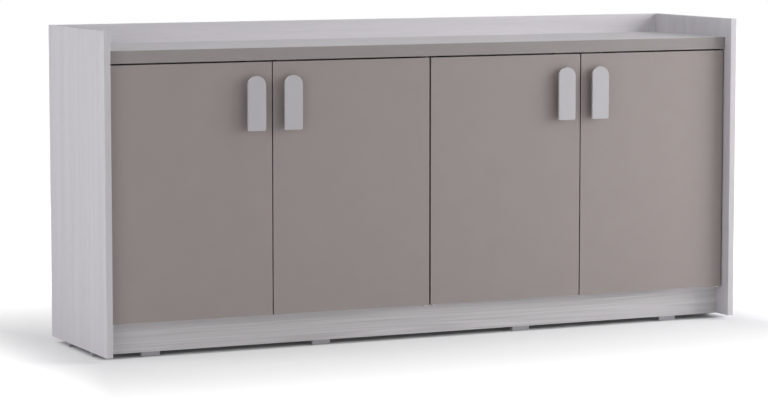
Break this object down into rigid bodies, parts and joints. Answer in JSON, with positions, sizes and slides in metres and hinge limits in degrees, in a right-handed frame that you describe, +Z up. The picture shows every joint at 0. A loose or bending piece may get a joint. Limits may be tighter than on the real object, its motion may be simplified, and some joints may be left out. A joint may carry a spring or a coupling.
{
  "type": "office cupboard",
  "caption": "Low office cupboard with proud wood-effect side panels, a rear gallery board, a recessed plinth and pivot-hung doors in pairs with arch-topped pull handles.",
  "frame": {"origin": "on the floor under the feet, at the middle of the width and of the depth", "axes": "+X to the right seen from the front, +Y from the front to the back, +Z up"},
  "size_m": [1.7, 0.395, 0.771],
  "materials": {
    "grey_wood_board": "pale grey wood-grain melamine, matt",
    "interior_board": "plain pale grey melamine, matt",
    "taupe_board": "taupe melamine, fine matt",
    "handle_metal": "pale grey satin paint on zinc casting",
    "zinc_steel": "zinc plating, a little dull",
    "bracket_paint": "pale grey powder coat on steel",
    "foot_plastic": "moulded grey plastic",
    "dark_steel": "dark phosphate coat on steel",
    "dark_plastic": "moulded dark grey plastic",
    "pale_nylon": "moulded natural nylon",
    "ferrite": "sintered dark ferrite",
    "beech": "fluted beech, untreated"
  },
  "bodies": {
    "carcass": {"bottom_panel": "interior_board", "cam_bolts": "zinc_steel", "cam_locks": "zinc_steel", "catch_housings": "dark_plastic", "catch_magnets": "ferrite", "catch_screws": "zinc_steel", "centre_partition": "interior_board", "dowels": "beech", "front_feet": "foot_plastic", "front_plinth": "grey_wood_board", "gallery_board": "grey_wood_board", "left_back_panel": "interior_board", "left_shelf": "interior_board", "left_side_panel": "grey_wood_board", "lower_pivot_brackets": "bracket_paint", "partition_screws": "zinc_steel", "pivot_screws": "zinc_steel", "plinth_braces": "interior_board", "rear_feet": "foot_plastic", "rear_plinth": "grey_wood_board", "right_back_panel": "interior_board", "right_shelf": "interior_board", "right_side_panel": "grey_wood_board", "shelf_supports": "zinc_steel", "side_front_edgings": "grey_wood_board", "side_glides": "foot_plastic", "thrust_washers": "pale_nylon", "top_front_edging": "taupe_board", "top_panel": "grey_wood_board", "upper_pivot_sockets": "dark_steel"},
    "left_outer_door": {"left_outer_door": "taupe_board", "left_outer_handle_plate": "handle_metal", "left_outer_handle_post": "handle_metal", "left_outer_handle_screws": "zinc_steel", "left_outer_lower_bush": "zinc_steel", "left_outer_strike_plate": "zinc_steel", "left_outer_upper_pivot": "dark_steel"},
    "left_inner_door": {"left_inner_door": "taupe_board", "left_inner_handle_plate": "handle_metal", "left_inner_handle_post": "handle_metal", "left_inner_handle_screws": "zinc_steel", "left_inner_lower_bush": "zinc_steel", "left_inner_strike_plate": "zinc_steel", "left_inner_upper_pivot": "dark_steel"},
    "right_inner_door": {"right_inner_door": "taupe_board", "right_inner_handle_plate": "handle_metal", "right_inner_handle_post": "handle_metal", "right_inner_handle_screws": "zinc_steel", "right_inner_lower_bush": "zinc_steel", "right_inner_strike_plate": "zinc_steel", "right_inner_upper_pivot": "dark_steel"},
    "right_outer_door": {"right_outer_door": "taupe_board", "right_outer_handle_plate": "handle_metal", "right_outer_handle_post": "handle_metal", "right_outer_handle_screws": "zinc_steel", "right_outer_lower_bush": "zinc_steel", "right_outer_strike_plate": "zinc_steel", "right_outer_upper_pivot": "dark_steel"}
  },
  "joints": [
    {"name": "left_outer_door_hinge", "type": "hinge", "parent": "carcass", "child": "left_outer_door", "pos_m": [-0.822, -0.1605, 0.38715], "axis": [0, 0, -1], "range_deg": [0, 95]},
    {"name": "left_inner_door_hinge", "type": "hinge", "parent": "carcass", "child": "left_inner_door", "pos_m": [-0.01125, -0.1605, 0.38715], "axis": [0, 0, 1], "range_deg": [0, 85]},
    {"name": "right_inner_door_hinge", "type": "hinge", "parent": "carcass", "child": "right_inner_door", "pos_m": [0.01125, -0.1605, 0.38715], "axis": [0, 0, -1], "range_deg": [0, 85]},
    {"name": "right_outer_door_hinge", "type": "hinge", "parent": "carcass", "child": "right_outer_door", "pos_m": [0.822, -0.1605, 0.38715], "axis": [0, 0, 1], "range_deg": [0, 95]}
  ]
}
